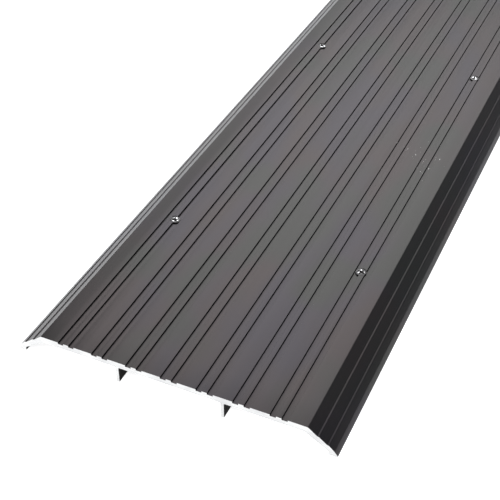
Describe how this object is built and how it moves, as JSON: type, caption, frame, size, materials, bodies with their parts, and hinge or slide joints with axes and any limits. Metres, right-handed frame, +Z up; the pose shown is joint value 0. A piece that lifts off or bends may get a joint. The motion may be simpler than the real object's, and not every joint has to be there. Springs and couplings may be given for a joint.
{
  "type": "threshold strip",
  "caption": "Flat-topped fluted aluminium door threshold with stepped ramps and support legs, fixed down by countersunk wood screws.",
  "frame": {"origin": "centre of the plane that the two feet rest on, which is the floor or sill, and the centre of the screw pattern", "axes": "+X along the strip, +Y across it from the front foot to the back foot, +Z up towards the walking surface"},
  "size_m": [0.8128, 0.1552, 0.0256],
  "materials": {
    "anodised_aluminium": "dark bronze anodised skin with fine die lines, bare metal at the sawn ends",
    "bronzed_steel": "dark bronze lacquer over steel, rubbed bright in the drive recess"
  },
  "bodies": {
    "root": {"threshold_extrusion": "anodised_aluminium", "screw_front_1": "bronzed_steel", "screw_back_1": "bronzed_steel", "screw_front_2": "bronzed_steel", "screw_back_2": "bronzed_steel", "screw_front_3": "bronzed_steel", "screw_back_3": "bronzed_steel", "screw_front_4": "bronzed_steel", "screw_back_4": "bronzed_steel"}
  },
  "joints": []
}
